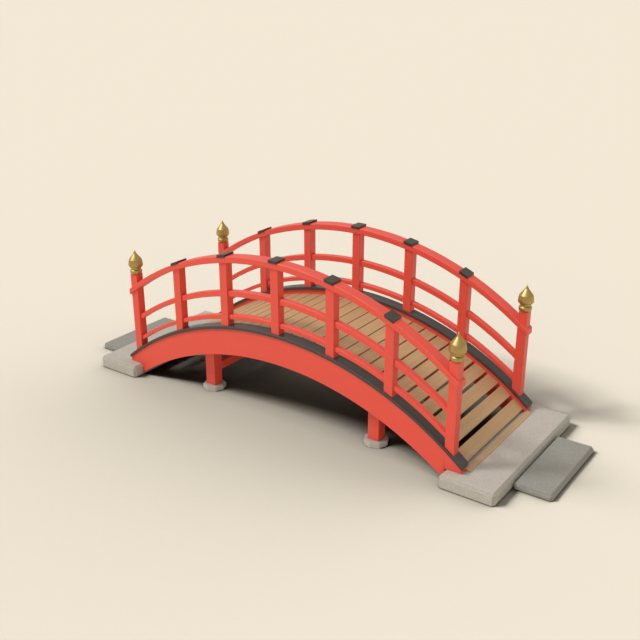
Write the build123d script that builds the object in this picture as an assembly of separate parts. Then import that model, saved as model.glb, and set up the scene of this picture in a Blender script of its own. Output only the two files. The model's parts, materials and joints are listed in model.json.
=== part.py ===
from build123d import *
import math
import os

# A moon bridge: two arched girders on end slabs and timber piers, a planked deck and railings.
# Millimetres. X runs along the bridge, Y across it, Z is up, and the ground is Z = 0.

# Setting out
POST_PITCH = 860.0            # spacing of the railing posts along the bridge
POST_BAYS = 6                 # bays between the two end posts of a side
ROW_SPACING = 1892.0          # between the centre lines of the two sides
END_MARGIN = 180.0            # girder beyond the end post's centre
CROWN_HEIGHT = 1234.0         # top of the girder at mid span

# End slabs and steps
SLAB_HEIGHT = 172.0
SLAB_LENGTH = 731.0
SLAB_BEARING = 223.0          # length of girder that stands on the slab
SLAB_OVERHANG = 167.0         # slab beyond the girder's outer face
SLAB_EDGE = 34.0              # chamfer of the slab's top and upright edges
STEP_HEIGHT = 88.0
STEP_LENGTH = 500.0
STEP_WIDTH = 1384.0
STEP_EDGE = 32.0
FOOT_EDGE = 14.0              # chamfer round the foot of a slab or a step

# Girders and the curb caps on them
GIRDER_THICKNESS = 130.0
GIRDER_DEPTH = 384.0
TOE_FACE = 64.0               # height of the girder's end above the slab
CAP_OVERHANG = 21.0           # cap beyond each face of the girder
CAP_THICKNESS = 46.0
CAP_PAST_END = 10.0

# Railings
POST_SIDE = 125.0
POST_EDGE = 7.0
END_POST_TOP = 1577.0         # shoulder of the end post, above the ground
HANDRAIL_CHEEK = 23.5         # handrail beyond each face of the posts
HANDRAIL_DEPTH = 90.0
HANDRAIL_TOP = 1031.0         # above the girder's top
HANDRAIL_STUB = 26.0          # handrail past the end post
HANDRAIL_EDGE = 12.0
THIN_RAIL_CHEEK = 20.5        # post beyond each face of the thin rails
MID_RAIL_TOP = 542.0          # above the girder's top
MID_RAIL_DEPTH = 82.0
LOW_RAIL_TOP = 200.0          # above the girder's top
LOW_RAIL_DEPTH = 64.0
THIN_RAIL_EDGE = 8.0
PLATE_LENGTH = 138.0
PLATE_LIP = 10.0              # plate beyond each face of the handrail
PLATE_THICKNESS = 40.0
PLATE_SINK = 13.0             # plate let into the handrail

# Finials
TENON_RADIUS = 30.0
TENON_LENGTH = 150.0
COLLAR_RADIUS = 85.0
COLLAR_HEIGHT = 70.0
COLLAR_ROUND = 26.0           # rounding of the collar's upper rim, and of its lower one
BULB_RADIUS = 104.5
FINIAL_HEIGHT = 356.0
TIP_RADIUS = 3.0

# Deck
PLANK_WIDTH = 181.0
PLANK_THICKNESS = 45.0
PLANKS_PER_HALF = 14
DECK_DROP = 67.0              # plank top below the girder's top
DECK_SETBACK = 25.0           # last whole plank's pitch ends this far inside the girder's end
LEDGER_WIDTH = 40.0
LEDGER_DEPTH = 60.0
NOSING_LENGTH = 68.0
NOSING_LAP = 25.0             # nosing across the girder's end, beyond its inner face
NOSING_HEIGHT = 32.0
NOSING_LIP = 6.0

# Piers
PIER_X = 1387.0
PIER_SPACING = 1396.0         # between the centre lines of a pier's two posts
PIER_SIDE = 165.0
PIER_EDGE = 8.0
FOOTING_SIDES = 8
FOOTING_RADIUS = 166.0        # to the corners
FOOTING_HEIGHT = 72.0
FOOTING_EDGE = 14.0
BRACE_BOTTOM = 250.0
BRACE_DEPTH = 120.0
BRACE_WIDTH = 90.0
HEAD_RISE = 30.0              # crosshead's underside above the girder's underside at the pier
HEAD_DEPTH = 140.0

# Derived layout
ROW_Y = ROW_SPACING / 2
END_POST_X = POST_PITCH * POST_BAYS / 2
GIRDER_END = END_POST_X + END_MARGIN
GIRDER_INNER = ROW_Y - GIRDER_THICKNESS / 2
CAP_END = GIRDER_END + CAP_PAST_END
CAP_WIDTH = GIRDER_THICKNESS + 2 * CAP_OVERHANG
HANDRAIL_WIDTH = POST_SIDE + 2 * HANDRAIL_CHEEK
HANDRAIL_END = END_POST_X + POST_SIDE / 2 + HANDRAIL_STUB
THIN_RAIL_WIDTH = POST_SIDE - 2 * THIN_RAIL_CHEEK
PLATE_WIDTH = HANDRAIL_WIDTH + 2 * PLATE_LIP
SLAB_INNER = GIRDER_END - SLAB_BEARING
SLAB_OUTER = SLAB_INNER + SLAB_LENGTH
SLAB_WIDTH = ROW_SPACING + GIRDER_THICKNESS + 2 * SLAB_OVERHANG
DECK_HALF = GIRDER_END - DECK_SETBACK
NOSING_HALF = GIRDER_INNER + NOSING_LAP
PLANK_PITCH = DECK_HALF / PLANKS_PER_HALF
PIER_Y = PIER_SPACING / 2

# The girder's top is an arc through the crown and the two toe faces.
TOE_HEIGHT = SLAB_HEIGHT + TOE_FACE
ARC_RISE = CROWN_HEIGHT - TOE_HEIGHT
ARC_RADIUS = (GIRDER_END ** 2 + ARC_RISE ** 2) / (2 * ARC_RISE)
ARC_CENTRE = CROWN_HEIGHT - ARC_RADIUS


def arc_height(x):
    """Height of the girder's top at x."""
    return ARC_CENTRE + math.sqrt(ARC_RADIUS ** 2 - x ** 2)


def arc_band(low, high, x_left, x_right, width, y):
    """A bar that follows the arch, between two heights above the girder's top."""
    x_mid = (x_left + x_right) / 2
    upper = [(x, arc_height(x) + high) for x in (x_left, x_mid, x_right)]
    lower = [(x, arc_height(x) + low) for x in (x_right, x_mid, x_left)]
    outline = [
        Edge.make_three_point_arc(*[Vector(x, y + width / 2, z) for x, z in upper]),
        Edge.make_line(Vector(x_right, y + width / 2, upper[2][1]), Vector(x_right, y + width / 2, lower[0][1])),
        Edge.make_three_point_arc(*[Vector(x, y + width / 2, z) for x, z in lower]),
        Edge.make_line(Vector(x_left, y + width / 2, lower[2][1]), Vector(x_left, y + width / 2, upper[0][1])),
    ]
    return Solid.extrude(Face(Wire(outline)), Vector(0, -width, 0))


def eased_band(low, high, x_left, x_right, width, y, edge):
    """The same bar with its four long edges chamfered."""
    bar = arc_band(low, high, x_left, x_right, width, y)
    long_edges = bar.edges().filter_by(GeomType.CIRCLE)
    return chamfer(long_edges, edge)


def block(x, y, z_low, z_high, length, width):
    """An upright block centred on x and y."""
    return Pos(x, y, (z_low + z_high) / 2) * Box(length, width, z_high - z_low)


def eased_block(x, y, z_low, z_high, side, edge):
    """A square post with its four upright edges chamfered."""
    blank = block(x, y, z_low, z_high, side, side)
    return chamfer(blank.edges().filter_by(Axis.Z), edge)


def dressed_stone(x, height, length, width, edge):
    """A stone on the ground, chamfered round its top, down its corners and a little round its foot."""
    stone = block(x, 0, 0, height, length, width)
    stone = chamfer(stone.edges().filter_by(Axis.Z) + stone.edges().group_by(Axis.Z)[-1], edge)
    return chamfer(stone.edges().group_by(Axis.Z)[0], FOOT_EDGE)


def profile_prism(points, y_low, y_high):
    """A straight-sided shape in X and Z, carried across from y_low to y_high."""
    corners = [Vector(x, y_high, z) for x, z in points]
    outline = Wire.make_polygon(corners, close=True)
    return Solid.extrude(Face(outline), Vector(0, y_low - y_high, 0))


def plank_profile(x_centre):
    """The four corners of a plank, top left first, laid on the slope of the arch."""
    slope = -math.asin(x_centre / ARC_RADIUS)
    along = (math.cos(slope), math.sin(slope))
    z_centre = arc_height(x_centre) - DECK_DROP
    half = PLANK_WIDTH / 2
    top_left = (x_centre - half * along[0], z_centre - half * along[1])
    top_right = (x_centre + half * along[0], z_centre + half * along[1])
    down = (PLANK_THICKNESS * along[1], -PLANK_THICKNESS * along[0])
    bottom_right = (top_right[0] + down[0], top_right[1] + down[1])
    bottom_left = (top_left[0] + down[0], top_left[1] + down[1])
    return [top_left, top_right, bottom_right, bottom_left]


def write(name, *solids):
    """Write one node."""
    shape = solids[0] if len(solids) == 1 else Compound(children=list(solids))
    export_step(shape, os.path.join("parts", name + ".step"))


os.makedirs("parts", exist_ok=True)

SIDES = {"front": -1, "back": 1}
ENDS = {"left": -1, "right": 1}

# End slabs and the lower steps against them.
for end, sign in ENDS.items():
    slab_x = sign * (SLAB_INNER + SLAB_OUTER) / 2
    write("abutment_slab_" + end, dressed_stone(slab_x, SLAB_HEIGHT, SLAB_LENGTH, SLAB_WIDTH, SLAB_EDGE))
    step_x = sign * (SLAB_OUTER + STEP_LENGTH / 2)
    write("step_slab_" + end, dressed_stone(step_x, STEP_HEIGHT, STEP_LENGTH, STEP_WIDTH, STEP_EDGE))

# The room over each slab, squared off, that the girders and ledgers are notched to stand on.
seats = [
    block(sign * (SLAB_INNER + SLAB_OUTER) / 2, 0, -GIRDER_DEPTH, SLAB_HEIGHT, SLAB_LENGTH, SLAB_WIDTH)
    for sign in ENDS.values()
]

# Deck planks, square to the arch, and the nosing that closes the deck on each slab.
plank_centres = [(n + 0.5) * PLANK_PITCH for n in range(-PLANKS_PER_HALF, PLANKS_PER_HALF)]
plank_outlines = [plank_profile(x) for x in plank_centres]
planks = [profile_prism(outline, -GIRDER_INNER, GIRDER_INNER) for outline in plank_outlines]
write("deck_planks", *planks)
nosings = []
for end, sign in ENDS.items():
    nosing_outline = [
        (sign * GIRDER_END, SLAB_HEIGHT),
        (sign * GIRDER_END, SLAB_HEIGHT + NOSING_HEIGHT),
        (sign * (GIRDER_END + NOSING_LENGTH), SLAB_HEIGHT + NOSING_LIP),
        (sign * (GIRDER_END + NOSING_LENGTH), SLAB_HEIGHT),
    ]
    nosings.append(profile_prism(nosing_outline, -NOSING_HALF, NOSING_HALF))
write("deck_nosings", *nosings)

# The ledgers' upper edge follows the undersides of the planks.
ledger_top = []
for outline in plank_outlines:
    ledger_top += [outline[3], outline[2]]
ledger_bottom = [(x, z - LEDGER_DEPTH) for x, z in reversed(ledger_top)]

ledgers = []
plates = []
footings = []
for side, sign in SIDES.items():
    y_row = sign * ROW_Y

    # Girder, notched over the end slabs, and the curb cap along its top.
    girder = arc_band(-GIRDER_DEPTH, 0, -GIRDER_END, GIRDER_END, GIRDER_THICKNESS, y_row)
    for seat in seats:
        girder = girder - seat
    write("girder_" + side, girder)
    write("curb_cap_" + side, arc_band(0, CAP_THICKNESS, -CAP_END, CAP_END, CAP_WIDTH, y_row))

    # Ledger on the girder's inner face, under the ends of the planks.
    ledger_y = sorted([sign * GIRDER_INNER, sign * (GIRDER_INNER - LEDGER_WIDTH)])
    ledger = profile_prism(ledger_top + ledger_bottom, *ledger_y)
    for seat in seats:
        ledger = ledger - seat
    ledgers.append(ledger)

    # The thin rails stop in the middle of the end posts, and the handrail runs past them.
    mid_rail = eased_band(
        MID_RAIL_TOP - MID_RAIL_DEPTH, MID_RAIL_TOP, -END_POST_X, END_POST_X, THIN_RAIL_WIDTH, y_row, THIN_RAIL_EDGE
    )
    low_rail = eased_band(
        LOW_RAIL_TOP - LOW_RAIL_DEPTH, LOW_RAIL_TOP, -END_POST_X, END_POST_X, THIN_RAIL_WIDTH, y_row, THIN_RAIL_EDGE
    )
    write("mid_rail_" + side, mid_rail)
    write("low_rail_" + side, low_rail)
    handrail = eased_band(
        HANDRAIL_TOP - HANDRAIL_DEPTH, HANDRAIL_TOP, -HANDRAIL_END, HANDRAIL_END, HANDRAIL_WIDTH, y_row, HANDRAIL_EDGE
    )

    # Posts under the handrail, each with a thin plate let into the rail above it.
    post_room = arc_band(
        CAP_THICKNESS, HANDRAIL_TOP - HANDRAIL_DEPTH, -END_POST_X, END_POST_X, 2 * POST_SIDE, y_row
    )
    for number in range(1, POST_BAYS):
        post_x = -END_POST_X + number * POST_PITCH
        blank = eased_block(post_x, y_row, 0, CROWN_HEIGHT + HANDRAIL_TOP, POST_SIDE, POST_EDGE)
        post = (blank & post_room) - mid_rail - low_rail
        write("rail_post_%s_%d" % (side, number), post)
        plate_slope = math.asin(post_x / ARC_RADIUS)
        plate_half = PLATE_LENGTH / 2 * math.cos(plate_slope)
        plate_low = HANDRAIL_TOP - PLATE_SINK
        plate = arc_band(
            plate_low, plate_low + PLATE_THICKNESS, post_x - plate_half, post_x + plate_half, PLATE_WIDTH, y_row
        )
        plates.append(plate)
        handrail = handrail - plate

    # End posts pass up through the handrail and carry a finial on a round tenon.
    for end, end_sign in ENDS.items():
        post_x = end_sign * END_POST_X
        blank = eased_block(post_x, y_row, 0, END_POST_TOP, POST_SIDE, POST_EDGE)
        handrail = handrail - blank
        under_cap = arc_band(-CROWN_HEIGHT, CAP_THICKNESS, -CAP_END, CAP_END, 2 * POST_SIDE, y_row)
        tenon = Pos(post_x, y_row, END_POST_TOP + TENON_LENGTH / 2) * Cylinder(TENON_RADIUS, TENON_LENGTH)
        end_post = blank - under_cap - mid_rail - low_rail + tenon
        write("end_post_%s_%s" % (side, end), end_post)

        # Half section: a round-rimmed collar, a bulb that opens as a cone, and a long drawn-out tip.
        collar_in = COLLAR_RADIUS - COLLAR_ROUND
        with BuildPart() as finial:
            with BuildSketch(Plane.XZ):
                with BuildLine():
                    base = Line((0, 0), (collar_in, 0))
                    lower_rim = RadiusArc(base @ 1, (COLLAR_RADIUS, COLLAR_ROUND), -COLLAR_ROUND)
                    wall = Line(lower_rim @ 1, (COLLAR_RADIUS, COLLAR_HEIGHT - COLLAR_ROUND))
                    upper_rim = RadiusArc(wall @ 1, (collar_in, COLLAR_HEIGHT), -COLLAR_ROUND)
                    bulb = Polyline(
                        upper_rim @ 1,
                        (0.965 * BULB_RADIUS, 0.342 * FINIAL_HEIGHT),
                        (BULB_RADIUS, 0.390 * FINIAL_HEIGHT),
                        (0.980 * BULB_RADIUS, 0.446 * FINIAL_HEIGHT),
                        (0.870 * BULB_RADIUS, 0.607 * FINIAL_HEIGHT),
                        (0.265 * BULB_RADIUS, 0.834 * FINIAL_HEIGHT),
                        (0.145 * BULB_RADIUS, 0.902 * FINIAL_HEIGHT),
                        (TIP_RADIUS, FINIAL_HEIGHT),
                    )
                    tip = Line(bulb @ 1, (0, FINIAL_HEIGHT))
                    axis_line = Line(tip @ 1, base @ 0)
                make_face()
            revolve(axis=Axis.Z)
        finial_shape = Pos(post_x, y_row, END_POST_TOP) * finial.part - tenon
        write("finial_%s_%s" % (side, end), finial_shape)
    write("handrail_" + side, handrail)

    # Pier posts on eight-sided footings.
    for end, end_sign in ENDS.items():
        pier_x = end_sign * PIER_X
        pier_y = sign * PIER_Y
        footing_plan = Pos(pier_x, pier_y, 0) * RegularPolygon(FOOTING_RADIUS, FOOTING_SIDES)
        footing = extrude(footing_plan, FOOTING_HEIGHT)
        footing = chamfer(footing.edges().group_by(Axis.Z)[-1], FOOTING_EDGE)
        footings.append(footing)
        head_bottom = arc_height(PIER_X) - GIRDER_DEPTH + HEAD_RISE
        pier_post = eased_block(pier_x, pier_y, FOOTING_HEIGHT, head_bottom, PIER_SIDE, PIER_EDGE)
        write("pier_post_%s_%s" % (side, end), pier_post)

write("deck_ledgers", *ledgers)
write("rail_plates", *plates)
write("pier_footings", *footings)

# The brace between the posts of each pier, and the crosshead that carries the girders on them.
braces = []
heads = []
for end, end_sign in ENDS.items():
    pier_x = end_sign * PIER_X
    head_bottom = arc_height(PIER_X) - GIRDER_DEPTH + HEAD_RISE
    brace_length = PIER_SPACING - PIER_SIDE
    brace = block(pier_x, 0, BRACE_BOTTOM, BRACE_BOTTOM + BRACE_DEPTH, BRACE_WIDTH, brace_length)
    braces.append(brace)
    head = block(pier_x, 0, head_bottom, head_bottom + HEAD_DEPTH, PIER_SIDE, 2 * GIRDER_INNER)
    heads.append(head)
write("pier_braces", *braces)
write("pier_crossheads", *heads)
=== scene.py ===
import json
import math
import random

import bmesh
import bpy
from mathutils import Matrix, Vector

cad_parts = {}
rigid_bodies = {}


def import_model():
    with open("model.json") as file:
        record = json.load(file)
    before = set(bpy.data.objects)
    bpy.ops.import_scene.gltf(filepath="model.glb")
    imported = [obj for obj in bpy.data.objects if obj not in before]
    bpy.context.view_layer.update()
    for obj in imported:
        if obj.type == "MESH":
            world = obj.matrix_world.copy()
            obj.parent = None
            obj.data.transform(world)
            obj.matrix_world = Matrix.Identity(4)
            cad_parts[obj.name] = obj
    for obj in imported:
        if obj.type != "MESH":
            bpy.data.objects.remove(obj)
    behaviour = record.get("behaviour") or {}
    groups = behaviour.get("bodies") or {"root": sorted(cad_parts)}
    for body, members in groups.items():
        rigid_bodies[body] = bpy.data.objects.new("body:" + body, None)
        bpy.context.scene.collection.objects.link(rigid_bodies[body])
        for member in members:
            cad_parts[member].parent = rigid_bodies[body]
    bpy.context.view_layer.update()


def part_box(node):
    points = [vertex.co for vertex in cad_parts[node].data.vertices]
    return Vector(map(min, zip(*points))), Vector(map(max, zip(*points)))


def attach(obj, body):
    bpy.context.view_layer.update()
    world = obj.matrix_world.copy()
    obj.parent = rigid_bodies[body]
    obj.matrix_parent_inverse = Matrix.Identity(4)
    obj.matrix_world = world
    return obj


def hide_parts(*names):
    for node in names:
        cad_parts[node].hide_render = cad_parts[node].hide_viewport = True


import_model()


# Stone footings, end slabs and steps: sawn blocks of fine pale granite set straight on the ground, with the
# lower steps cut from a greyer bed. Their edges are chamfered by hand and rubbed smooth.

WELD = 0.00002                # points closer than this are one
RUBBED = 0.003                # an edge is rubbed round this far to each side
TOP_RING = 0.04               # width of the ring of faces inside the chamfer on a stone's top


def softened(points, reach, closed):
    """A line with its corners cut short by reach, and a mark for each point: 1 beside a cut, 0 on a flat."""
    flat_start = 2.2          # in reaches from the corner
    largest_share = 0.2       # of a side, for a cut
    count = len(points)
    line = [] if closed else [(points[0], 0.0)]
    for n in range(0 if closed else 1, count if closed else count - 1):
        here = Vector(points[n])
        arms = []
        for other in (points[n - 1], points[(n + 1) % count]):
            towards = Vector(other) - here
            length = max(towards.length, WELD / 2)
            near = min(reach, length * largest_share)
            arms.append([here + towards * (step * near / length) for step in (1.0, flat_start)])
        line += [(arms[0][1], 0.0), (arms[0][0], 1.0), (arms[1][0], 1.0), (arms[1][1], 0.0)]
    return line if closed else line + [(points[-1], 0.0)]


def mark_layer(layers, name):
    """The layer of that name on a mesh's points, made if it isn't there yet."""
    return layers.get(name) or layers.new(name)


def skin_rings(made, rings):
    """Adds faces between each ring of points and the next, and one over each end."""
    for before, after in zip(rings, rings[1:]):
        for i in range(len(before)):
            j = (i + 1) % len(before)
            made.faces.new((before[i], before[j], after[j], after[i]))
    made.faces.new(list(reversed(rings[0])))
    made.faces.new(rings[-1])


def dressed_stone(made, plan, height, edge, foot, offset, reach=RUBBED):
    """Adds a stone to a mesh: chamfered by edge round its top and by foot at the ground.

    plan gives the stone's outline, anticlockwise, for an inset."""
    edge_mark = mark_layer(made.verts.layers.float, "edge")
    grain_mark = mark_layer(made.verts.layers.float_vector, "grain")
    profile = [(0.0, foot), (foot, 0.0), (height - edge, 0.0), (height, edge), (height, edge + TOP_RING)]
    rings = []
    for (z, inset), row_mark in softened(profile, reach, False):
        ring = []
        for point, corner_mark in softened(plan(inset), reach, True):
            vert = made.verts.new((point.x, point.y, z))
            vert[edge_mark] = max(row_mark, corner_mark if inset < edge else 0.0)
            vert[grain_mark] = Vector((point.x, point.y, z)) + Vector(offset)
            ring.append(vert)
        rings.append(ring)
    skin_rings(made, rings)


def finished_piece(name, made, material):
    """Closes a mesh, shades it smooth and puts it in the scene in its material."""
    bmesh.ops.remove_doubles(made, verts=made.verts, dist=WELD)
    bmesh.ops.dissolve_degenerate(made, edges=made.edges, dist=WELD)
    bmesh.ops.recalc_face_normals(made, faces=made.faces)
    for face in made.faces:
        face.smooth = True
    mesh = bpy.data.meshes.new(name)
    made.to_mesh(mesh)
    made.free()
    mesh.materials.append(material)
    piece = bpy.data.objects.new(name, mesh)
    bpy.context.scene.collection.objects.link(piece)
    return piece


def fill_sockets(tree, node, inputs):
    """Gives each named or numbered input of a node its value or its link."""
    for name, value in inputs.items():
        socket = node.inputs[int(name[1:])] if name[0] == "_" else node.inputs[name.replace("_", " ")]
        if isinstance(value, bpy.types.NodeSocket):
            tree.links.new(value, socket)
        else:
            socket.default_value = value


def add_node(tree, kind, settings=(), **inputs):
    """A shader node with its settings and its inputs."""
    node = tree.nodes.new("ShaderNode" + kind)
    for name, value in dict(settings).items():
        setattr(node, name, value)
    fill_sockets(tree, node, inputs)
    return node


def new_group(name, inputs, outputs):
    """A node group with the sockets named, and its two end nodes."""
    group = bpy.data.node_groups.new(name, "ShaderNodeTree")
    kinds = {"colour": "NodeSocketColor", "value": "NodeSocketFloat", "place": "NodeSocketVector"}
    for socket, kind in inputs:
        group.interface.new_socket(name=socket, in_out="INPUT", socket_type=kinds[kind])
    for socket, kind in outputs:
        group.interface.new_socket(name=socket, in_out="OUTPUT", socket_type=kinds[kind])
    return group, group.nodes.new("NodeGroupInput").outputs, group.nodes.new("NodeGroupOutput").inputs


def maths(tree, operation, first, second, clamp=False):
    """One sum on two values."""
    settings = {"operation": operation, "use_clamp": clamp}
    return add_node(tree, "Math", settings, _0=first, _1=second).outputs[0]


def total(tree, first, *others):
    """Values added up."""
    for other in others:
        first = maths(tree, "ADD", first, other)
    return first


def product(tree, first, *others):
    """Values multiplied together."""
    for other in others:
        first = maths(tree, "MULTIPLY", first, other)
    return first


def scaled(tree, colour, factor):
    """A colour made brighter or darker."""
    return add_node(tree, "VectorMath", {"operation": "SCALE"}, _0=colour, Scale=factor).outputs[0]


def mixed(tree, factor, first, second):
    """Two colours mixed."""
    return add_node(tree, "Mix", {"data_type": "RGBA"}, _0=factor, _6=first, _7=second).outputs[2]


def ramped(tree, value, low, high, to_low=0.0, to_high=1.0):
    """A value spread from one range to another, and held at its ends."""
    node = add_node(tree, "MapRange", {"clamp": True}, _0=value, _1=low, _2=high, _3=to_low, _4=to_high)
    return node.outputs[0]


def noisy(tree, place, scale, detail, roughness=0.5):
    """Soft random patches."""
    node = add_node(tree, "TexNoise", Vector=place, Scale=scale, Detail=detail, Roughness=roughness)
    return node.outputs[0]


def principled(name):
    """An empty material with its tree, its shader, its place along the grain and its edge mark."""
    material = bpy.data.materials.new(name)
    material.use_nodes = True
    tree = material.node_tree
    shader = tree.nodes["Principled BSDF"]
    grain = add_node(tree, "Attribute", {"attribute_name": "grain"}).outputs["Vector"]
    edge = add_node(tree, "Attribute", {"attribute_name": "edge"}).outputs["Fac"]
    return material, tree, shader, grain, edge


def placed(tree, group, **inputs):
    """A node group put into a material."""
    node = tree.nodes.new("ShaderNodeGroup")
    node.node_tree = group
    fill_sockets(tree, node, inputs)
    return node.outputs


def bumped(tree, shader, height, distance, strength):
    """A height put on the shader's surface."""
    bump = add_node(tree, "Bump", Strength=strength, Distance=distance, Height=height)
    tree.links.new(bump.outputs[0], shader.inputs["Normal"])


granite_group, given, wanted = new_group(
    "granite_face",
    [
        ("Place", "place"), ("Stone", "colour"), ("Dark fleck", "colour"), ("Pale fleck", "colour"),
        ("Flecks", "value"),
    ],
    [("Colour", "colour"), ("Roughness", "value"), ("Height", "value")],
)
cloud = noisy(granite_group, given["Place"], scale=5.0, detail=3.0)
mottle = noisy(granite_group, given["Place"], scale=46.0, detail=3.0, roughness=0.6)
crystals = add_node(granite_group, "TexVoronoi", {"feature": "F1"}, Vector=given["Place"], Scale=260.0)
crystal = add_node(granite_group, "SeparateColor", Color=crystals.outputs["Color"]).outputs[0]
dark_share = product(granite_group, ramped(granite_group, crystal, 0.80, 0.86), given["Flecks"])
pale_share = product(granite_group, ramped(granite_group, crystal, 0.22, 0.16), given["Flecks"])
cloud_tone = ramped(granite_group, cloud, 0.3, 0.7, 0.965, 1.02)
mottle_tone = ramped(granite_group, mottle, 0.3, 0.7, -0.05, 0.05)
toned = scaled(granite_group, given["Stone"], total(granite_group, cloud_tone, mottle_tone))
flecked = mixed(granite_group, dark_share, toned, given["Dark fleck"])
relief = total(granite_group, mottle, product(granite_group, crystal, 0.35))
granite_group.links.new(mixed(granite_group, pale_share, flecked, given["Pale fleck"]), wanted["Colour"])
granite_group.links.new(ramped(granite_group, mottle, 0.3, 0.7, 0.72, 0.86), wanted["Roughness"])
granite_group.links.new(relief, wanted["Height"])

FLECKS = 0.6
RUBBED_SHARE = 0.12           # how far a rubbed edge turns to the pale fleck's colour
CHAMFER_SHADE = 0.84           # painted shade: chamfers, which face neither square out nor square up, darker than the flat faces
FOOT_SHADE_TONE = 0.80             # painted shade at the foot, darker within a few millimetres of the ground
FOOT_SHADE_LOW = 0.002
FOOT_SHADE_HIGH = 0.015


def granite(name, stone, dark_fleck, pale_fleck, side_shading):
    """Granite with painted shade: its sides a touch lighter or darker than its top, and its chamfers and foot
    darker.
    """
    material, tree, shader, grain, edge = principled(name)
    face = placed(
        tree, granite_group, Place=grain, Stone=(*stone, 1), Dark_fleck=(*dark_fleck, 1),
        Pale_fleck=(*pale_fleck, 1), Flecks=FLECKS,
    )
    rubbed = mixed(tree, product(tree, edge, RUBBED_SHARE), face["Colour"], (*pale_fleck, 1))
    surface = add_node(tree, "NewGeometry").outputs
    turned = add_node(tree, "VectorMath", {"operation": "ABSOLUTE"}, _0=surface["Normal"]).outputs[0]
    facing = add_node(tree, "SeparateXYZ", Vector=turned).outputs
    squareness = maths(tree, "MAXIMUM", maths(tree, "MAXIMUM", facing["X"], facing["Y"]), facing["Z"])
    # painted shade: the further a face turns from square, as on a chamfer, the darker its colour
    painted_chamfer_shade = ramped(tree, squareness, 0.72, 0.97, CHAMFER_SHADE, 1.0)
    # painted light and shade: sides a little lighter or darker than tops, by the way they face
    side = ramped(tree, facing["Z"], 0.3, 0.8, side_shading, 1.0)
    above_ground = add_node(tree, "SeparateXYZ", Vector=surface["Position"]).outputs["Z"]
    # painted shade: darker towards the ground, over the foot chamfer
    painted_foot_shade = ramped(tree, above_ground, FOOT_SHADE_LOW, FOOT_SHADE_HIGH, FOOT_SHADE_TONE, 1.0)
    shaded_stone_colour = scaled(tree, rubbed, product(tree, painted_chamfer_shade, side, painted_foot_shade))
    tree.links.new(shaded_stone_colour, shader.inputs["Base Color"])
    tree.links.new(face["Roughness"], shader.inputs["Roughness"])
    bumped(tree, shader, face["Height"], distance=0.0012, strength=0.5)
    return material


pale_granite = granite(
    "pale_granite", stone=(0.421, 0.386, 0.326), dark_fleck=(0.30, 0.27, 0.22),
    pale_fleck=(0.62, 0.57, 0.48), side_shading=0.99,
)
grey_granite = granite(
    "grey_granite", stone=(0.252, 0.239, 0.201), dark_fleck=(0.18, 0.165, 0.14),
    pale_fleck=(0.42, 0.39, 0.33), side_shading=1.01,
)

SLAB_EDGE = 0.034
STEP_EDGE = 0.032
FOOT_EDGE = 0.014
for number, (kind, edge_size, stone_material, slot) in enumerate((
    ("abutment_slab", SLAB_EDGE, pale_granite, "pale_stone"),
    ("step_slab", STEP_EDGE, grey_granite, "grey_stone"),
)):
    for end in ("left", "right"):
        low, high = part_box(kind + "_" + end)

        def squared_plan(inset):
            """A rectangle with its corners cut off, which close to points at the full inset."""
            cut = max(edge_size - inset, 0.0)
            left, right, near, far = low.x + inset, high.x - inset, low.y + inset, high.y - inset
            return [
                (left + cut, near), (right - cut, near), (right, near + cut), (right, far - cut),
                (right - cut, far), (left + cut, far), (left, far - cut), (left, near + cut),
            ]

        block = bmesh.new()
        dressed_stone(block, squared_plan, high.z, edge_size, FOOT_EDGE, (number, 3 * number, 0))
        stone = finished_piece("stone_" + kind + "_" + end, block, stone_material)
        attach(stone, "root")
        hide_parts(kind + "_" + end)

FOOTING_RADIUS = 0.166
FOOTING_EDGE = 0.014
FOOTING_RUBBED = 0.002
footing_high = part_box("pier_footings")[1]
pier_x = footing_high.x - FOOTING_RADIUS
pier_y = footing_high.y - FOOTING_RADIUS
footings = bmesh.new()
pier_centres = [(x, y) for y in (-pier_y, pier_y) for x in (-pier_x, pier_x)]
for number, (x, y) in enumerate(pier_centres):

    def eight_sided_plan(inset):
        """A regular octagon about the pier post."""
        radius = FOOTING_RADIUS - inset / math.cos(math.pi / 8)
        turns = [n * math.pi / 4 for n in range(8)]
        return [(x + radius * math.cos(turn), y + radius * math.sin(turn)) for turn in turns]

    grain_offset = (2 * number, 0, 0)
    dressed_stone(
        footings, eight_sided_plan, footing_high.z, FOOTING_EDGE, 0.0, grain_offset, reach=FOOTING_RUBBED,
    )
footing_stones = finished_piece("footing_stones", footings, pale_granite)
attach(footing_stones, "root")
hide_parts("pier_footings")


# Piers: two square cedar posts on their footings, a brace tenoned between them and a crosshead over both.
# They are planed, primed and brushed with vermilion lacquer, which wears thin on the corners; the lighter
# orange there is also a painted highlight along the bevels.

def end_rows(station, inward, radius, ease, quarter):
    """Rows of a bar's rounded end, from the end inward: each a station, its inset and its edge mark."""
    rows = [(station, radius + ease, 0.0)]
    for turn in reversed(quarter):
        near = radius * (1 - math.sin(turn))
        rows.append((station + inward * near, radius * (1 - math.cos(turn)), 1.0))
    return rows + [(station + inward * (radius + ease), 0.0, 0.0)]


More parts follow.
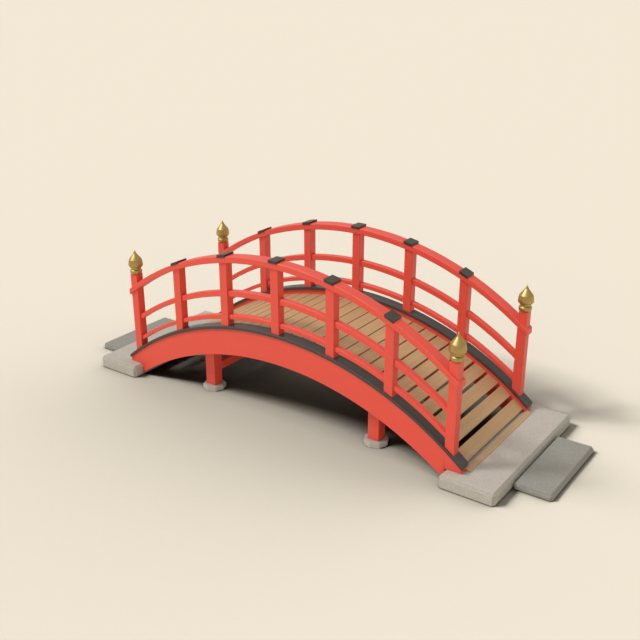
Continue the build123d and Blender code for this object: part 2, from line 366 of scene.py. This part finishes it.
def rounded_section(corners, inset, row_mark, radius, ease, quarter):
    """Points round a rectangle with rounded corners, inset from its full size, each with its edge mark."""
    low_a, high_a, low_b, high_b = corners
    corner_radius = max(radius - inset, 0.0)
    back = max(inset, radius)
    flat = ease if inset <= radius else 0.0
    corner_mark = 1.0 if inset <= radius else 0.0
    ring = []
    for centre, side, ahead in (
        ((high_a - back, high_b - back), (1, 0), (0, 1)),
        ((low_a + back, high_b - back), (0, 1), (-1, 0)),
        ((low_a + back, low_b + back), (-1, 0), (0, -1)),
        ((high_a - back, low_b + back), (0, -1), (1, 0)),
    ):
        centre, side, ahead = Vector(centre), Vector(side), Vector(ahead)
        ring.append((centre + side * corner_radius - ahead * flat, row_mark))
        for turn in quarter:
            around = side * math.cos(turn) + ahead * math.sin(turn)
            ring.append((centre + around * corner_radius, corner_mark))
        ring.append((centre + ahead * corner_radius - side * flat, row_mark))
    return ring


def skin_bar(made, place, section, stations, radius, steps=4, ease=0.008, offset=(0, 0, 0), tone=0.0):
    """Adds a bar to a mesh: a rectangle carried along its stations, rounded on its long edges and its ends.

    place turns (station, across, up) into a point, and section gives the rectangle at a station. offset
    shifts the grain, so that timbers differ, and tone makes one board lighter or darker than the next."""
    edge_mark = mark_layer(made.verts.layers.float, "edge")
    grain_mark = mark_layer(made.verts.layers.float_vector, "grain")
    tone_mark = mark_layer(made.verts.layers.float, "tone")
    first, last = stations[0], stations[-1]
    quarter = [step / steps * math.pi / 2 for step in range(steps + 1)]
    inner = [s for s in stations[1:-1] if first + radius + ease < s < last - radius - ease]
    rows = end_rows(first, 1, radius, ease, quarter)
    rows += [(s, 0.0, 0.0) for s in inner]
    rows += reversed(end_rows(last, -1, radius, ease, quarter))
    rings = []
    for station, inset, row_mark in rows:
        ring = []
        for (a, b), mark in rounded_section(section(station), inset, row_mark, radius, ease, quarter):
            vert = made.verts.new(place(station, a, b))
            vert[edge_mark] = mark
            vert[grain_mark] = Vector((station, a, b)) + Vector(offset)
            vert[tone_mark] = tone
            ring.append(vert)
        rings.append(ring)
    skin_rings(made, rings)


def standing(station, across, along):
    """A point of a timber that stands."""
    return Vector((across, along, station))


def between(low, high, count):
    """Evenly spaced stations from low to high."""
    return [low + (high - low) * i / count for i in range(count + 1)]


def stretched(tree, place, along, across):
    """A place squeezed so that patches run long with the grain."""
    node = add_node(tree, "VectorMath", {"operation": "MULTIPLY"}, _0=place, _1=(along, across, across))
    return node.outputs[0]


wear_group, given, wanted = new_group(
    "edge_wear", [("Place", "place"), ("Edge", "value"), ("Amount", "value")], [("Mask", "value")],
)
scuffs = noisy(wear_group, given["Place"], scale=38.0, detail=4.0, roughness=0.65)
patches = noisy(wear_group, given["Place"], scale=2.3, detail=2.0)
bare_edge = product(
    wear_group, ramped(wear_group, scuffs, 0.42, 0.66), ramped(wear_group, patches, 0.35, 0.7), given["Edge"],
)
wear_group.links.new(maths(wear_group, "MULTIPLY", bare_edge, given["Amount"], clamp=True), wanted["Mask"])

brush_group, given, wanted = new_group(
    "brushed_coat", [("Place", "place"), ("Coat", "colour"), ("Spread", "value")],
    [("Colour", "colour"), ("Roughness", "value"), ("Height", "value")],
)
broad = noisy(brush_group, given["Place"], scale=2.6, detail=3.0)
bristle_place = stretched(brush_group, given["Place"], along=5.0, across=210.0)
bristles = noisy(brush_group, bristle_place, scale=1.0, detail=3.0, roughness=0.6)
swell_place = stretched(brush_group, given["Place"], along=1.6, across=24.0)
swells = noisy(brush_group, swell_place, scale=1.0, detail=2.0)
SWELL_SHARE = 0.6
BRISTLE_SHARE = 0.35
strokes = total(
    brush_group, broad, product(brush_group, swells, SWELL_SHARE),
    product(brush_group, bristles, BRISTLE_SHARE),
)
centred = maths(brush_group, "SUBTRACT", strokes, 0.5 * (1 + SWELL_SHARE + BRISTLE_SHARE))
tone = total(brush_group, 1.0, product(brush_group, centred, given["Spread"]))
brush_group.links.new(scaled(brush_group, given["Coat"], tone), wanted["Colour"])
brush_group.links.new(ramped(brush_group, swells, 0.25, 0.75, -0.03, 0.04), wanted["Roughness"])
brush_group.links.new(total(brush_group, swells, product(brush_group, bristles, 0.2)), wanted["Height"])


WORN_MATT = 0.2               # how much rougher the coat is where it has worn thin


def lacquer(name, coat_colour, worn_and_highlight_colour, roughness, spread, wear):
    """Brushed lacquer over timber, thin on the corners, where a lighter colour shows that is also a painted
    highlight along the bevels.
    """
    material, tree, shader, grain, edge = principled(name)
    coat = placed(tree, brush_group, Place=grain, Coat=(*coat_colour, 1), Spread=spread)
    worn = placed(tree, wear_group, Place=grain, Edge=edge, Amount=wear)["Mask"]
    tree.links.new(mixed(tree, worn, coat["Colour"], (*worn_and_highlight_colour, 1)), shader.inputs["Base Color"])
    dulled = total(tree, roughness, coat["Roughness"], product(tree, worn, WORN_MATT))
    tree.links.new(dulled, shader.inputs["Roughness"])
    bumped(tree, shader, coat["Height"], distance=0.0006, strength=0.35)
    return material


# painted highlight, in part: the lighter orange on the worn corners also stands for light caught on the
# bevels
vermilion = lacquer(
    "vermilion_lacquer", coat_colour=(0.735, 0.0715, 0.0435), worn_and_highlight_colour=(0.80, 0.17, 0.10), roughness=0.39,
    spread=0.08, wear=0.5,
)

PIER_EDGE = 0.008
for side in ("front", "back"):
    for end in ("left", "right"):
        low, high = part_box("pier_post_%s_%s" % (side, end))
        post = bmesh.new()
        skin_bar(
            post, standing, lambda s: (low.x, high.x, low.y, high.y), between(low.z, high.z, 6),
            PIER_EDGE, offset=(low.x, low.y, 5.0),
        )
        pier_post = finished_piece("pier_timber_%s_%s" % (side, end), post, vermilion)
        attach(pier_post, "root")
        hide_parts("pier_post_%s_%s" % (side, end))

BRACE_WIDTH = 0.090
CROSSHEAD_WIDTH = 0.165
BRACE_EDGE = 0.006
for node, name, width in (
    ("pier_braces", "brace_timbers", BRACE_WIDTH), ("pier_crossheads", "crosshead_timbers", CROSSHEAD_WIDTH),
):
    low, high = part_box(node)
    timbers = bmesh.new()
    for sign in (-1, 1):
        x = sign * pier_x
        skin_bar(
            timbers, lambda s, a, b: Vector((a, s, b)),
            lambda s: (x - width / 2, x + width / 2, low.z, high.z),
            between(low.y, high.y, 8), BRACE_EDGE, offset=(3.0, sign * 4.0, low.z),
        )
    timber = finished_piece(name, timbers, vermilion)
    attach(timber, "root")
    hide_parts(node)


# Girders: two deep arched timbers, one each side, sawn to a single curve and notched at the foot to stand
# on the end slabs. They carry the same vermilion lacquer as the piers.

GIRDER_DEPTH = 0.384
GIRDER_EDGE = 0.006
ARCH_BAYS = 88                # straight stretches that make up the arch
NOTCH_STEP = 0.0001           # the notch in the foot is cut between stations this far to each side of it
cap_low, cap_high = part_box("curb_cap_front")
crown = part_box("girder_front")[1].z
arch_drop = crown - cap_low.z
arch_radius = (cap_high.x ** 2 + arch_drop ** 2) / (2 * arch_drop)


def arch(x):
    """Height of the girders' upper edge."""
    return crown - arch_radius + math.sqrt(arch_radius ** 2 - x ** 2)


def lengthwise(station, across, up):
    """A point of a timber that runs along the bridge."""
    return Vector((station, across, up))


slab_low, slab_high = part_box("abutment_slab_right")
for side in ("front", "back"):
    low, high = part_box("girder_" + side)

    def girder_section(x):
        """The girder's width and height at a station along the bridge."""
        foot = arch(x) - GIRDER_DEPTH
        if abs(x) >= slab_low.x:
            foot = slab_high.z
        return low.y, high.y, foot, arch(x)

    notch = [sign * (slab_low.x + step) for sign in (-1, 1) for step in (-NOTCH_STEP, NOTCH_STEP)]
    stations = sorted(between(low.x, high.x, ARCH_BAYS) + notch)
    beam = bmesh.new()
    skin_bar(beam, lengthwise, girder_section, stations, GIRDER_EDGE, offset=(0.0, 2.0, 0.0))
    girder = finished_piece("girder_timber_" + side, beam, vermilion)
    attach(girder, "root")
    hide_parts("girder_" + side)


# Curb caps: a bent board along the top of each girder, a little wider than it on both faces, screwed down
# and finished in near-black lacquer that sheds the rain.

CAP_EDGE = 0.006
dark_lacquer = lacquer(
    "dark_lacquer", coat_colour=(0.049, 0.039, 0.034), worn_and_highlight_colour=(0.12, 0.11, 0.095), roughness=0.36,
    spread=0.25, wear=0.8,
)
for side in ("front", "back"):
    low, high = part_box("curb_cap_" + side)
    thickness = high.z - crown
    board = bmesh.new()
    skin_bar(
        board, lengthwise, lambda x: (low.y, high.y, arch(x), arch(x) + thickness),
        between(low.x, high.x, ARCH_BAYS), CAP_EDGE, offset=(1.0, 7.0, 0.0),
    )
    cap = finished_piece("cap_board_" + side, board, dark_lacquer)
    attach(cap, "root")
    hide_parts("curb_cap_" + side)


# Deck: cross planks of oiled timber with open joints, on a ledger along each girder's inner face, and a low
# wedge-shaped nosing that closes the walkway on each slab. The grain runs across the bridge.

PLANKS_PER_HALF = 14
PLANK_WIDTH = 0.181
PLANK_THICKNESS = 0.045
PLANK_EDGE = 0.003
DECK_DROP = 0.067
DECK_SETBACK = 0.025
PLANK_PLAY = 0.001            # between a plank's end and the girder
girder_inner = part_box("girder_back")[0].y
plank_pitch = (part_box("girder_front")[1].x - DECK_SETBACK) / PLANKS_PER_HALF

timber_group, given, wanted = new_group(
    "timber_grain",
    [("Place", "place"), ("Light wood", "colour"), ("Dark wood", "colour"), ("Tone", "value")],
    [("Colour", "colour"), ("Roughness", "value"), ("Height", "value")],
)
band_place = stretched(timber_group, given["Place"], along=0.9, across=26.0)
bands = noisy(timber_group, band_place, scale=1.0, detail=3.0, roughness=0.55)
fibre_place = stretched(timber_group, given["Place"], along=7.0, across=330.0)
fibres = noisy(timber_group, fibre_place, scale=1.0, detail=3.0, roughness=0.6)
stains = noisy(timber_group, given["Place"], scale=3.2, detail=2.0)
year_rings = total(
    timber_group, product(timber_group, bands, 0.62), product(timber_group, fibres, 0.22),
    product(timber_group, stains, 0.16),
)
figure = ramped(timber_group, year_rings, 0.36, 0.64)
wood = mixed(timber_group, figure, given["Dark wood"], given["Light wood"])
relief = total(timber_group, fibres, product(timber_group, bands, 0.8))
timber_group.links.new(scaled(timber_group, wood, total(timber_group, 1.0, given["Tone"])), wanted["Colour"])
timber_group.links.new(ramped(timber_group, fibres, 0.3, 0.7, 0.62, 0.50), wanted["Roughness"])
timber_group.links.new(relief, wanted["Height"])

BARE_WOOD = 1.25              # a rubbed edge against the light wood
BOARD_WEAR = 0.7


def oiled_timber(name, light_wood, dark_wood):
    """Sawn and oiled timber, with its own tone on each board."""
    material, tree, shader, grain, edge = principled(name)
    board_tone = add_node(tree, "Attribute", {"attribute_name": "tone"}).outputs["Fac"]
    face = placed(
        tree, timber_group, Place=grain, Light_wood=(*light_wood, 1), Dark_wood=(*dark_wood, 1),
        Tone=board_tone,
    )
    worn = placed(tree, wear_group, Place=grain, Edge=edge, Amount=BOARD_WEAR)["Mask"]
    bare = (*[BARE_WOOD * channel for channel in light_wood], 1)
    tree.links.new(mixed(tree, worn, face["Colour"], bare), shader.inputs["Base Color"])
    tree.links.new(face["Roughness"], shader.inputs["Roughness"])
    bumped(tree, shader, face["Height"], distance=0.0008, strength=0.5)
    return material


plank_timber = oiled_timber("plank_timber", light_wood=(0.500, 0.318, 0.155), dark_wood=(0.436, 0.263, 0.123))

plank_draw = random.Random(27)
planks = bmesh.new()
for number in range(-PLANKS_PER_HALF, PLANKS_PER_HALF):
    centre_x = (number + 0.5) * plank_pitch
    slope = -math.asin(centre_x / arch_radius)
    along = Vector((math.cos(slope), 0, math.sin(slope)))
    square = Vector((-math.sin(slope), 0, math.cos(slope)))
    top = Vector((centre_x, 0, arch(centre_x) - DECK_DROP))
    skin_bar(
        planks, lambda s, a, b: top + along * a + Vector((0, s, 0)) + square * b,
        lambda s: (-PLANK_WIDTH / 2, PLANK_WIDTH / 2, -PLANK_THICKNESS, 0.0),
        between(PLANK_PLAY - girder_inner, girder_inner - PLANK_PLAY, 10), PLANK_EDGE, steps=3, ease=0.005,
        offset=(plank_draw.uniform(0, 40), plank_draw.uniform(0, 40), plank_draw.uniform(0, 40)),
        tone=plank_draw.uniform(-0.05, 0.05),
    )
deck = finished_piece("deck_boards", planks, plank_timber)
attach(deck, "root")
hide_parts("deck_planks")

NOSING_LENGTH = 0.068
NOSING_LIP = 0.006
NOSING_EDGE = 0.0015
nosing_low, nosing_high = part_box("deck_nosings")
nosing_height = nosing_high.z - nosing_low.z
nosing_inner = nosing_high.x - NOSING_LENGTH
nosings = bmesh.new()
for sign in (-1, 1):

    def nosing_place(station, out, up):
        """A point of the nosing, whose top falls away to a low lip."""
        fall = (out - nosing_inner) / NOSING_LENGTH * (1 - NOSING_LIP / nosing_height)
        return Vector((sign * out, station, nosing_low.z + up * (1 - fall)))

    skin_bar(
        nosings, nosing_place, lambda s: (nosing_inner, nosing_high.x, 0.0, nosing_height),
        between(nosing_low.y, nosing_high.y, 6), NOSING_EDGE, steps=2, ease=0.001,
        offset=(11.0 * sign, 5.0, 2.0), tone=-0.08 + 0.02 * sign,
    )
nosing = finished_piece("nosing_boards", nosings, plank_timber)
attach(nosing, "root")
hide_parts("deck_nosings")

LEDGER_WIDTH = 0.040
LEDGER_DEPTH = 0.060
LEDGER_EDGE = 0.001
LEDGER_DROP = 0.0029          # from the planks' undersides to the ledger's top, at the crown
LEDGER_LEAST = 0.006          # height left where the slab cuts the ledger off
ledger_low, ledger_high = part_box("deck_ledgers")
ledgers = bmesh.new()
for sign in (-1, 1):
    near_y, far_y = sorted((sign * girder_inner, sign * (girder_inner - LEDGER_WIDTH)))

    def ledger_section(x):
        """The ledger's width and height, cut off where it meets the slab."""
        top = arch(x) - DECK_DROP - PLANK_THICKNESS - LEDGER_DROP
        foot = top - LEDGER_DEPTH
        if abs(x) >= slab_low.x:
            foot = max(foot, slab_high.z)
        return near_y, far_y, foot, max(top, foot + LEDGER_LEAST)

    skin_bar(
        ledgers, lengthwise, ledger_section, between(ledger_low.x, ledger_high.x, 70), LEDGER_EDGE,
        steps=1, ease=0.001, offset=(0.0, 9.0 * sign, 0.0),
    )
ledger = finished_piece("ledger_boards", ledgers, vermilion)
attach(ledger, "root")
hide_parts("deck_ledgers")


# Posts: five square posts a side between the curb cap and the handrail, and four taller end posts that pass
# up through the handrail to carry the finials. All are mortised for the thin rails and lacquered vermilion.

POST_EDGE = 0.007
END_POST_TOP = 1.577
INTO_CAP = 0.010              # a post's foot is let this far into the cap
INTO_HANDRAIL = 0.020
post_names = ["rail_post_%s_%d" % (side, number) for side in ("front", "back") for number in range(1, 6)]
post_names += ["end_post_%s_%s" % (side, end) for side in ("front", "back") for end in ("left", "right")]
for number, node in enumerate(post_names):
    low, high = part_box(node)
    head = END_POST_TOP if node.startswith("end") else high.z + INTO_HANDRAIL
    post = bmesh.new()
    skin_bar(
        post, standing, lambda s: (low.x, high.x, low.y, high.y), between(low.z - INTO_CAP, head, 10),
        POST_EDGE, offset=(3.7 * number, 1.9 * number, 0.0),
    )
    post_timber = finished_piece("upright_" + node, post, vermilion)
    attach(post_timber, "root")
    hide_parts(node)


# Rails: two thin rails threaded through the posts and a broad handrail over them, all bent to the arch and
# lacquered vermilion. The handrail is wider than the posts and runs a little past the end posts.

HANDRAIL_DEPTH = 0.090
HANDRAIL_EDGE = 0.012
MID_RAIL_DEPTH = 0.082
LOW_RAIL_DEPTH = 0.064
THIN_RAIL_EDGE = 0.008
for kind, depth, rail_edge in (
    ("low_rail", LOW_RAIL_DEPTH, THIN_RAIL_EDGE),
    ("mid_rail", MID_RAIL_DEPTH, THIN_RAIL_EDGE),
    ("handrail", HANDRAIL_DEPTH, HANDRAIL_EDGE),
):
    for side in ("front", "back"):
        low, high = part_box(kind + "_" + side)
        lift = high.z - crown
        bar = bmesh.new()
        skin_bar(
            bar, lengthwise, lambda x: (low.y, high.y, arch(x) + lift - depth, arch(x) + lift),
            between(low.x, high.x, ARCH_BAYS), rail_edge, steps=5, offset=(0.0, lift * 7, 0.0),
        )
        rail = finished_piece("bent_" + kind + "_" + side, bar, vermilion)
        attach(rail, "root")
        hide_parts(kind + "_" + side)


# Rail plates: dark sheet metal dressed over a low timber pad, let into the handrail over each post to cover
# its joint. Each plate reaches a little past both faces of the rail.

PLATE_LENGTH = 0.138
PLATE_THICKNESS = 0.040
PLATE_LIP = 0.010
PLATE_EDGE = 0.003
plate_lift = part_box("rail_plates")[1].z - crown
dark_metal = lacquer(
    "dark_metal", coat_colour=(0.033, 0.024, 0.021), worn_and_highlight_colour=(0.12, 0.11, 0.09), roughness=0.36,
    spread=0.30, wear=1.0,
)
plates = bmesh.new()
for side in ("front", "back"):
    rail_low, rail_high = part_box("handrail_" + side)
    near_y, far_y = rail_low.y - PLATE_LIP, rail_high.y + PLATE_LIP
    middle = (near_y + far_y) / 2
    for number in range(1, 6):
        low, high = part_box("rail_post_%s_%d" % (side, number))
        x = (low.x + high.x) / 2
        half = PLATE_LENGTH / 2 * math.sqrt(1 - (x / arch_radius) ** 2)
        skin_bar(
            plates, lengthwise,
            lambda s: (near_y, far_y, arch(s) + plate_lift - PLATE_THICKNESS, arch(s) + plate_lift),
            between(x - half, x + half, 4), PLATE_EDGE, steps=3, ease=0.004,
            offset=(number * 1.3, middle * 5, 0.0),
        )
plate = finished_piece("rail_plates_metal", plates, dark_metal)
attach(plate, "root")
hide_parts("rail_plates")


# Finials: cast brass, turned on a lathe to a round-rimmed collar, a bulb and a cone drawn out to a fine tip,
# and dropped over the round tenon of each end post.

COLLAR_RADIUS = 0.085
COLLAR_HEIGHT = 0.070
COLLAR_ROUND = 0.026
BULB_PROFILE = (
    (0.1215, 0.1008), (0.139, 0.1045), (0.159, 0.1024), (0.216, 0.091), (0.297, 0.0277), (0.321, 0.0152),
    (0.356, 0.003),
)                             # each a height and a radius, from the widest part up to the tip
PROFILE_EASE = 0.005
FINIAL_SIDES = 48


def eased(points, ease):
    """A line of (height, radius) points whose corners are cut a little short, to shade as soft creases."""
    line = [points[0]]
    for before, here, after in zip(points, points[1:], points[2:]):
        arms = []
        for other in (before, after):
            reach = math.dist(here, other)
            share = min(ease / reach, 0.4)
            arms.append(tuple(h + (o - h) * share for h, o in zip(here, other)))
        middle = tuple((h * 2 + a + b) / 4 for h, a, b in zip(here, *arms))
        line += [arms[0], middle, arms[1]]
    return line + [points[-1]]


BRIGHT_BRASS = (0.50, 0.355, 0.132, 1)
DULL_BRASS = (0.41, 0.285, 0.099, 1)
POLISH = (0.40, 0.46)         # roughness of the brass, from its brighter to its duller patches
brass, tree, shader, grain, edge = principled("finial_brass")
mottle = noisy(tree, grain, scale=9.0, detail=3.0)
turning = noisy(tree, stretched(tree, grain, along=420.0, across=3.0), scale=1.0, detail=2.0)
tarnish = ramped(tree, mottle, 0.35, 0.7, 0.0, 0.5)
tree.links.new(mixed(tree, tarnish, BRIGHT_BRASS, DULL_BRASS), shader.inputs["Base Color"])
shader.inputs["Metallic"].default_value = 1.0
tree.links.new(ramped(tree, mottle, 0.3, 0.7, *POLISH), shader.inputs["Roughness"])
bumped(tree, shader, turning, distance=0.0003, strength=0.25)

collar_inner = COLLAR_RADIUS - COLLAR_ROUND
quarter = [math.radians(15 * step) for step in range(7)]    # a quarter turn of the rim
lower_rim = [
    (COLLAR_ROUND * (1 - math.cos(turn)), collar_inner + COLLAR_ROUND * math.sin(turn)) for turn in quarter
]
upper_rim = [
    (COLLAR_HEIGHT - COLLAR_ROUND * (1 - math.sin(turn)), collar_inner + COLLAR_ROUND * math.cos(turn))
    for turn in quarter
]
profile = lower_rim + upper_rim[:-1] + eased([upper_rim[-1], *BULB_PROFILE], PROFILE_EASE)
for side in ("front", "back"):
    for end in ("left", "right"):
        low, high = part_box("finial_%s_%s" % (side, end))
        centre = (low + high) / 2
        turned = bmesh.new()
        grain_mark = mark_layer(turned.verts.layers.float_vector, "grain")
        rings = []
        for height, radius in profile:
            ring = []
            for i in range(FINIAL_SIDES):
                angle = 2 * math.pi * i / FINIAL_SIDES
                x, y = radius * math.cos(angle), radius * math.sin(angle)
                vert = turned.verts.new((centre.x + x, centre.y + y, low.z + height))
                vert[grain_mark] = (height, x, y)
                ring.append(vert)
            rings.append(ring)
        skin_rings(turned, rings)
        finial = finished_piece("turned_finial_%s_%s" % (side, end), turned, brass)
        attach(finial, "root")
        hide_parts("finial_%s_%s" % (side, end))


# Studio: a plain cream floor that runs out to a cream background, with broad suns for soft lamps. The floor
# has a dark paint under strong lamps of its own, so that it comes out cream but takes little colour from the
# bridge, and a painted shade darkens its colour softly under and beside the bridge.

CREAM = (0.888, 0.807, 0.665, 1)
MIRRORED = (0.60, 0.57, 0.53, 1)    # what polished surfaces see around the bridge
FLOOR_PAINT = (0.1480, 0.1342, 0.1103)
FLOOR_REACH = 300.0
BROAD_SHADE = 30.0            # how far off the bridge still shades the floor
BROAD_STRENGTH = 0.77
CONTACT_SHADE = 0.025         # painted shade: the darker line beside a stone's foot
CONTACT_STRENGTH = 0.7
floor_mesh = bpy.data.meshes.new("studio_floor")
corners = [(x * FLOOR_REACH, y * FLOOR_REACH, 0) for x, y in ((-1, -1), (1, -1), (1, 1), (-1, 1))]
floor_mesh.from_pydata(corners, [], [(0, 1, 2, 3)])
floor = bpy.data.objects.new("studio_floor", floor_mesh)
bpy.context.scene.collection.objects.link(floor)
floor_paint = bpy.data.materials.new("studio_floor")
floor_paint.use_nodes = True
tree = floor_paint.node_tree
shader = tree.nodes["Principled BSDF"]
shader.inputs["Roughness"].default_value = 1.0
shader.inputs["Specular IOR Level"].default_value = 0.0
paths = add_node(tree, "LightPath").outputs
seen = maths(tree, "ADD", paths["Is Camera Ray"], paths["Is Glossy Ray"], clamp=True)
broad = add_node(tree, "AmbientOcclusion", {"samples": 16}, Distance=BROAD_SHADE).outputs["AO"]
contact = add_node(tree, "AmbientOcclusion", {"samples": 16}, Distance=CONTACT_SHADE).outputs["AO"]
# painted shade: ambient occlusion darkens the floor's colour where the bridge is near
shade = product(
    tree, maths(tree, "POWER", broad, BROAD_STRENGTH), maths(tree, "POWER", contact, CONTACT_STRENGTH),
)
shaded = scaled(tree, FLOOR_PAINT, shade)
tree.links.new(mixed(tree, seen, (*FLOOR_PAINT, 1), shaded), shader.inputs["Base Color"])
floor_mesh.materials.append(floor_paint)

world = bpy.data.worlds.new("studio")
bpy.context.scene.world = world
world.use_nodes = True
tree = world.node_tree
background = tree.nodes["Background"].inputs["Color"]
paths = add_node(tree, "LightPath").outputs
polished = maths(tree, "ADD", paths["Is Glossy Ray"], paths["Is Transmission Ray"], clamp=True)
around = mixed(tree, polished, (0, 0, 0, 1), MIRRORED)
tree.links.new(mixed(tree, paths["Is Camera Ray"], around, CREAM), background)

lit = {"bridge": bpy.data.collections.new("lit_bridge"), "floor": bpy.data.collections.new("lit_floor")}
for thing in bpy.data.objects:
    if thing.type == "MESH":
        lit["floor" if thing is floor else "bridge"].objects.link(thing)

FLOOR_GAIN = 6.0              # the floor's paint is darker than cream by this, and its lamps stronger
LOW_LAMP = 0.2                # least sine of a lamp's rise that its strength is worked out from
SEEN_IN_GLOSS = ("key", "high_front")
# Each lamp's name, what it lights, its bearing, rise and spread in degrees, and its share of the light.
LAMPS = (
    ("key", "bridge", 310, 47, 10, 0.314),
    ("sky", "bridge", 0, 90, 170, 0.447),
    ("high_front", "bridge", 330, 62, 30, 0.264),
    ("high_right", "bridge", 125, 58, 30, 0.092),
    ("right_fill", "bridge", 60, 8, 24, 0.021),
    ("front_left_fill", "bridge", 330, 8, 24, 0.016),
    ("floor_key", "floor", 310, 47, 16, 0.592),
    ("floor_left", "floor", 296, 38, 16, 0.193),
    ("floor_high", "floor", 28, 64, 5, 0.080),
    ("floor_low", "floor", 147, 5, 82, 0.133),
)
for name, lit_part, bearing, rise, spread, share in LAMPS:
    lamp = bpy.data.lights.new(name, "SUN")
    lamp.angle = math.radians(spread)
    lamp.energy = math.pi * share / max(math.sin(math.radians(rise)), LOW_LAMP)
    if lit_part == "floor":
        lamp.energy *= FLOOR_GAIN
    holder = bpy.data.objects.new(name, lamp)
    bpy.context.scene.collection.objects.link(holder)
    turn, lift = math.radians(bearing), math.radians(rise)
    towards = Vector((math.sin(turn) * math.cos(lift), -math.cos(turn) * math.cos(lift), math.sin(lift)))
    holder.rotation_mode = "QUATERNION"
    holder.rotation_quaternion = towards.to_track_quat("Z", "Y")
    holder.light_linking.receiver_collection = lit[lit_part]
    holder.visible_glossy = name in SEEN_IN_GLOSS

CAMERA_PLACE = (6.6170, -9.2919, 5.8167)
CAMERA_TILT = 67.7315         # degrees up from straight down
CAMERA_TURN = 35.457          # degrees anticlockwise from looking along Y
camera = bpy.data.cameras.new("camera")
camera.lens = 50
camera.sensor_width = 36
camera.clip_end = 2000
viewpoint = bpy.data.objects.new("camera", camera)
viewpoint.location = CAMERA_PLACE
viewpoint.rotation_euler = (math.radians(CAMERA_TILT), 0, math.radians(CAMERA_TURN))
bpy.context.scene.collection.objects.link(viewpoint)
bpy.context.scene.camera = viewpoint
bpy.context.scene.view_settings.view_transform = "Standard"
